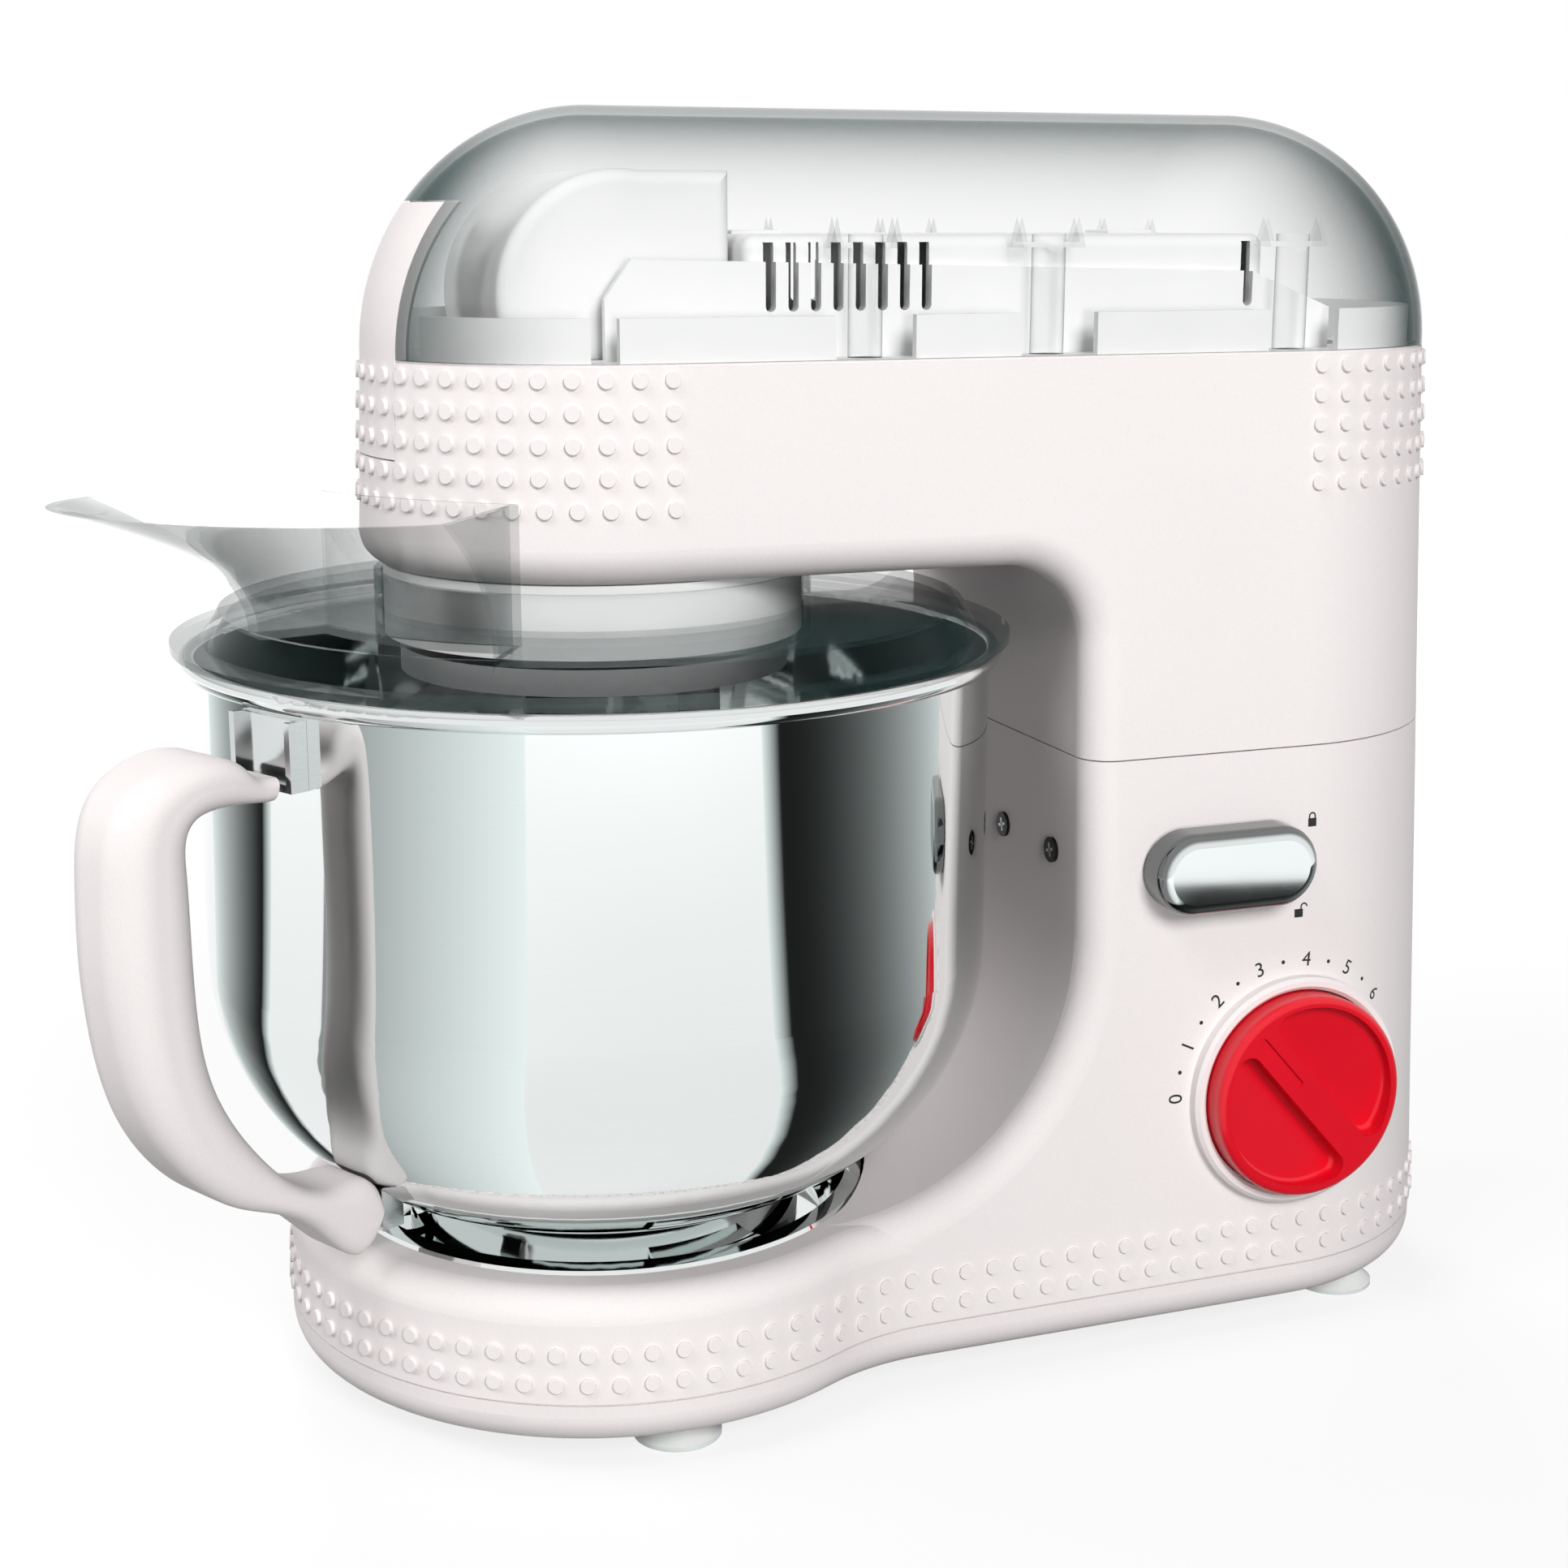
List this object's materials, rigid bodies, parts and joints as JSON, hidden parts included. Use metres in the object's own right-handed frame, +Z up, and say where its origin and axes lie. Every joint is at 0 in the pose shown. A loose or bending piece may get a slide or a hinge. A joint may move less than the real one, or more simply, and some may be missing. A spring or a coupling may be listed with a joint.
{
  "type": "stand mixer",
  "caption": "Tilt-head stand mixer with a clear dome over the drive, a steel bowl with a handle, a clear splash guard with a pouring chute, a lock lever and a speed dial",
  "frame": {"origin": "on the table, under the middle of the whole machine's box", "axes": "+Z up; +X from the bowl towards the column; -Y is the side with the dial and the lever"},
  "size_m": [0.4082, 0.2436, 0.347],
  "materials": {
    "soft_white": "soft matte coating, warm off-white",
    "clear_dome": "clear, faintly green-grey",
    "smoke_clear": "clear smoky grey",
    "white_plastic": "white moulding",
    "polished_steel": "polished stainless steel",
    "chrome_lever": "chromed",
    "red_knob": "glossy red",
    "foot_rubber": "translucent soft rubber",
    "machined_steel": "machined steel",
    "cast_metal": "cast",
    "bronze": "bronze and copper",
    "black_plastic": "black moulding",
    "core_steel": "stacked steel sheets",
    "belt_rubber": "ribbed rubber"
  },
  "bodies": {
    "base": {"base_shell": "soft_white", "bottom_plate": "soft_white", "suction_feet": "foot_rubber", "cord_inlet": "black_plastic", "face_screws": "machined_steel", "bowl_seat": "polished_steel", "dial_ring": "soft_white", "speed_switch": "black_plastic", "lever_bush": "black_plastic", "hinge_pin": "machined_steel"},
    "lever": {"lever_knob": "chrome_lever", "lever_shaft": "machined_steel", "latch_hook": "machined_steel"},
    "dial": {"dial_knob": "red_knob", "dial_shaft": "machined_steel"},
    "bowl": {"bowl": "polished_steel", "bowl_foot": "polished_steel", "handle_grip": "soft_white", "upper_bracket": "polished_steel", "lower_bracket": "polished_steel"},
    "head": {"head_shell": "soft_white", "top_deck": "white_plastic", "dome": "clear_dome", "front_cap": "soft_white", "gear_cover": "white_plastic", "motor_cover": "white_plastic", "strike_pin": "machined_steel", "hub_ring": "white_plastic", "ring_gear": "machined_steel", "gear_plate": "machined_steel", "gear_bridge": "machined_steel", "main_bushes": "bronze", "lay_bushes": "bronze", "motor_mounts": "foot_rubber", "motor_brackets": "cast_metal", "stator": "core_steel", "field_coils": "bronze", "brush_holders": "black_plastic", "drive_belt": "belt_rubber"},
    "planetary": {"main_shaft": "machined_steel", "main_gear": "machined_steel", "planet_carrier": "cast_metal", "planet_bush": "bronze"},
    "beater": {"beater_shaft": "machined_steel", "cross_pin": "machined_steel", "planet_pinion": "machined_steel", "beater": "cast_metal"},
    "layshaft": {"layshaft": "machined_steel", "lay_pinion": "machined_steel", "large_pulley": "black_plastic"},
    "motor": {"motor_shaft": "machined_steel", "armature": "core_steel", "commutator": "bronze", "cooling_fan": "black_plastic", "motor_pulley": "black_plastic"},
    "guard": {"splash_guard": "smoke_clear", "pouring_chute": "smoke_clear"}
  },
  "joints": [
    {"name": "head_tilt", "type": "hinge", "parent": "base", "child": "head", "pos_m": [0.18579, 0.00776, 0.1742], "axis": [0, 1, 0], "range_deg": [0, 35]},
    {"name": "lever_turn", "type": "hinge", "parent": "base", "child": "lever", "pos_m": [0.10379, -0.06067, 0.143], "axis": [0, -1, 0], "range_deg": [-25, 25]},
    {"name": "dial_turn", "type": "hinge", "parent": "base", "child": "dial", "pos_m": [0.12849, -0.06199, 0.0746], "axis": [0, -0.9991, 0.0419], "range_deg": [-91, 47]},
    {"name": "bowl_twist", "type": "hinge", "parent": "base", "child": "bowl", "pos_m": [-0.05721, 0.00776, 0.05], "axis": [0, 0, 1], "range_deg": [0, 40]},
    {"name": "guard_turn", "type": "hinge", "parent": "head", "child": "guard", "pos_m": [-0.05721, 0.00776, 0.217], "axis": [0, 0, 1], "range_deg": [-40, 40]},
    {"name": "planetary_spin", "type": "hinge", "parent": "head", "child": "planetary", "pos_m": [-0.05721, 0.00776, 0.22], "axis": [0, 0, 1], "continuous": true},
    {"name": "beater_spin", "type": "hinge", "parent": "planetary", "child": "beater", "pos_m": [-0.02721, 0.00776, 0.22], "axis": [0, 0, 1], "continuous": true},
    {"name": "layshaft_spin", "type": "hinge", "parent": "head", "child": "layshaft", "pos_m": [-0.01221, 0.00776, 0.25], "axis": [0, 0, 1], "continuous": true},
    {"name": "motor_spin", "type": "hinge", "parent": "head", "child": "motor", "pos_m": [0.10279, 0.00776, 0.25], "axis": [0, 0, 1], "continuous": true}
  ],
  "couplings": [
    {"joint": "beater_spin", "follows": "planetary_spin", "ratio": -3},
    {"joint": "layshaft_spin", "follows": "planetary_spin", "ratio": -3.2857},
    {"joint": "motor_spin", "follows": "planetary_spin", "ratio": -15.607}
  ]
}
